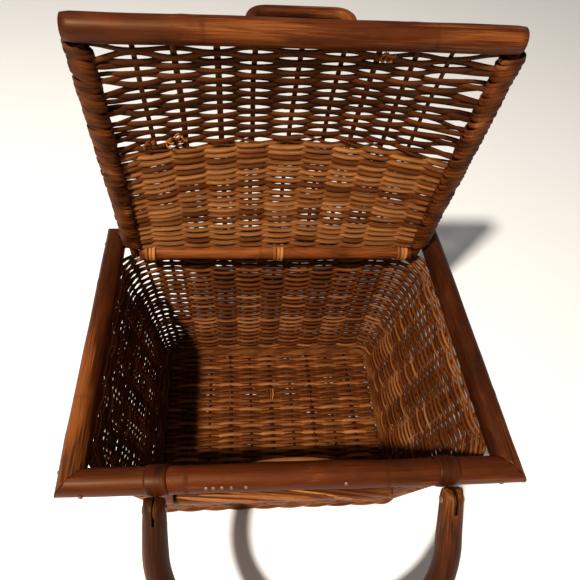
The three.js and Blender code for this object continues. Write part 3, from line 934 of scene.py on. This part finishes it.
def addTrim():
    dice = random.Random(trim["seed"])
    bm = newCane("binding")
    count = 60
    span = trim["right"] - trim["left"]
    core = [(trim["left"] + span * i / count, trim["y"], trim["z"]) for i in range(count + 1)]
    sweepCane(bm, core, trim["high"] * 0.8, trim["deep"] * 0.75, zAxis, 16, False, 0.2, 1.0)
    for ribbon in range(trim["ribbons"]):
        points, swell = [], []
        start = trim["left"] + (span - trim["ribbonSpare"]) * ribbon / (trim["ribbons"] - 1)
        length = min(dice.uniform(70, 118), trim["right"] - start - 1)
        first, last = dice.uniform(60, 110), dice.uniform(150, 230)
        for i in range(31):
            q = i / 30
            a = math.radians(first + (last - first) * q)
            points.append((start + 1 + length * q, trim["y"] + math.cos(a) * trim["deep"] * 0.74,
                           trim["z"] + math.sin(a) * trim["high"] * 0.72))
            swell.append(min(1.0, 0.12 + 4.5 * q, 0.12 + 4.5 * (1 - q)))
        wide, thick, tone = trim["ribbonHalfWide"], trim["ribbonHalfThick"], dice.uniform(0.0, 0.7)
        sweepCane(bm, points, wide, thick, zAxis, 8, False, tone, dice.uniform(0, 5), swell)
    finishCane(bm, "frontBinding", splitCane, "basket", ["front_binding"])

    bm = newCane("peg")
    points = []
    for i in range(9):
        q = i / 8
        z = trim["z"] - peg["drop"] - peg["long"] * q
        points.append((peg["x"] + 0.6 * q, trim["y"] - 0.3 * q, z))
    sweepCane(bm, points, 3.2, 3.0, yAxis, 12, False, 0.3, 0.5, peg["swell"])
    finishCane(bm, "closingPeg", poleWood, "basket", ["closing_peg"])

    bm = newCane("lath")
    points, swell = [], []
    for i in range(lath["steps"] + 1):
        q = i / lath["steps"]
        x, y = lath["left"] + lath["long"] * q, lath["y"] + lath["bow"] * q * (1 - q)
        points.append((x, y, lath["z"] + lath["rise"] * q * (1 - q)))
        swell.append(min(1, 0.3 + min(i, lath["steps"] - i) * 0.25))
    sweepCane(bm, points, 2.4, 2.0, zAxis, 12, False, 0.95, 0.8, swell)
    finishCane(bm, "innerLath", weaveCane, "basket", ["inner_lath"])


addTrim()


nail = {
    "radius": 1.9, "inX": 10.0, "inY": 9.0, "faceX": 200.1, "faceY": 151.1,
    "rowX": (-76, -70, -63, -55, -43, 41), "rowY": -148.9, "rowZ": 228.4,
    "reach": (-1.5, 0.3, 0.9, 1.3), "swell": [0.5, 1, 0.8, 0.25],
}


def addNails():
    bm = newCane("nails")
    endX, endY, z = basket["halfX"] - nail["inX"], basket["halfY"] - nail["inY"], basket["rimZ"]
    spots = [(side * endX, -nail["faceY"], z, -yAxis) for side in (-1, 1)]
    for end in (-1, 1):
        spots += [(side * nail["faceX"], end * endY, z, side * xAxis) for side in (-1, 1)]
    rowOut = (-yAxis + zAxis * 0.7).normalized()
    spots += [(x, nail["rowY"], nail["rowZ"], rowOut) for x in nail["rowX"]]
    for x, y, z, out in spots:
        head = [Vector((x, y, z)) + out * h for h in nail["reach"]]
        up = xAxis if abs(out.x) < 0.5 else yAxis
        sweepCane(bm, head, nail["radius"], nail["radius"], up, 10, False, 0.5, 0, nail["swell"])
    finishCane(bm, "frameNails", nailIron, "basket")


addNails()
print("pieces made")


# floor, lights, camera

def addStage():
    bm = bmesh.new()
    bmesh.ops.create_grid(bm, x_segments=2, y_segments=2, size=6.0)
    mesh = bpy.data.meshes.new("floor")
    bm.to_mesh(mesh)
    bm.free()
    floor = bpy.data.objects.new("floor", mesh)
    bpy.context.scene.collection.objects.link(floor)
    g = Graph("paleFloor")
    place = g.node("ShaderNodeTexCoord", {}, {}, 3)
    soft = g.cloud(place, 6.0, 2.0)
    pale = g.blend(soft * 0.3, tint(250, 250, 249), tint(238, 238, 236))
    mesh.materials.append(g.finish({"Base Color": pale, "Roughness": 0.85}))


lights = {
    "aim": (0, 0, 0.15), "warm": (1.0, 0.93, 0.84), "soft": (1.0, 0.96, 0.92), "world": 0.19,
    "keyFrom": (-0.92, -0.98, 2.12), "keyReach": 2.6, "keySize": 0.16, "keyPower": 110.0,
    "fillAt": (1.6, -1.8, 1.6), "fillSize": 1.6, "fillPower": 2.0,
}


def addLight(name, place, aim, size, power, colour):
    lamp = bpy.data.lights.new(name, "AREA")
    lamp.shape, lamp.size, lamp.energy, lamp.color = "DISK", size, power, colour
    holder = bpy.data.objects.new(name, lamp)
    holder.location = place
    holder.rotation_euler = (Vector(aim) - Vector(place)).to_track_quat("-Z", "Y").to_euler()
    bpy.context.scene.collection.objects.link(holder)


def addLights():
    aim = Vector(lights["aim"])
    place = aim + Vector(lights["keyFrom"]).normalized() * lights["keyReach"]
    addLight("keyLamp", place, aim, lights["keySize"], lights["keyPower"], lights["warm"])
    addLight("fillLamp", lights["fillAt"], aim, lights["fillSize"], lights["fillPower"], lights["soft"])
    world = bpy.data.worlds.new("room")
    world.use_nodes = True
    background = world.node_tree.nodes["Background"]
    background.inputs[0].default_value = (*lights["soft"], 1)
    background.inputs[1].default_value = lights["world"]
    bpy.context.scene.world = world
    bpy.context.scene.view_settings.view_transform = "Standard"


view = {
    "place": (-53.3, -260.3, 642.2), "yaw": 6.49, "down": 53.07, "roll": 4.77,
    "lens": 29.7931, "sensor": 36.0, "shiftX": 0.042931, "shiftY": 0.0098276,
}


def addCamera():
    yaw, down, roll = (math.radians(view[k]) for k in ("yaw", "down", "roll"))
    level = math.cos(down)
    ahead = Vector((math.sin(yaw) * level, math.cos(yaw) * level, -math.sin(down)))
    right = Vector((math.cos(yaw), -math.sin(yaw), 0))
    above = right.cross(ahead)
    rolledRight = right * math.cos(roll) + above * math.sin(roll)
    rolledUp = above * math.cos(roll) - right * math.sin(roll)
    camera = bpy.data.cameras.new("camera")
    camera.sensor_width, camera.lens = view["sensor"], view["lens"]
    camera.shift_x, camera.shift_y = view["shiftX"], view["shiftY"]
    camera.clip_start = 0.01
    holder = bpy.data.objects.new("camera", camera)
    turn = Matrix((rolledRight, rolledUp, -ahead)).transposed()
    holder.matrix_world = Matrix.Translation(Vector(view["place"]) * mm) @ turn.to_4x4()
    bpy.context.scene.collection.objects.link(holder)
    bpy.context.scene.camera = holder


addStage()
addLights()
addCamera()
print("stage, lights and camera set")
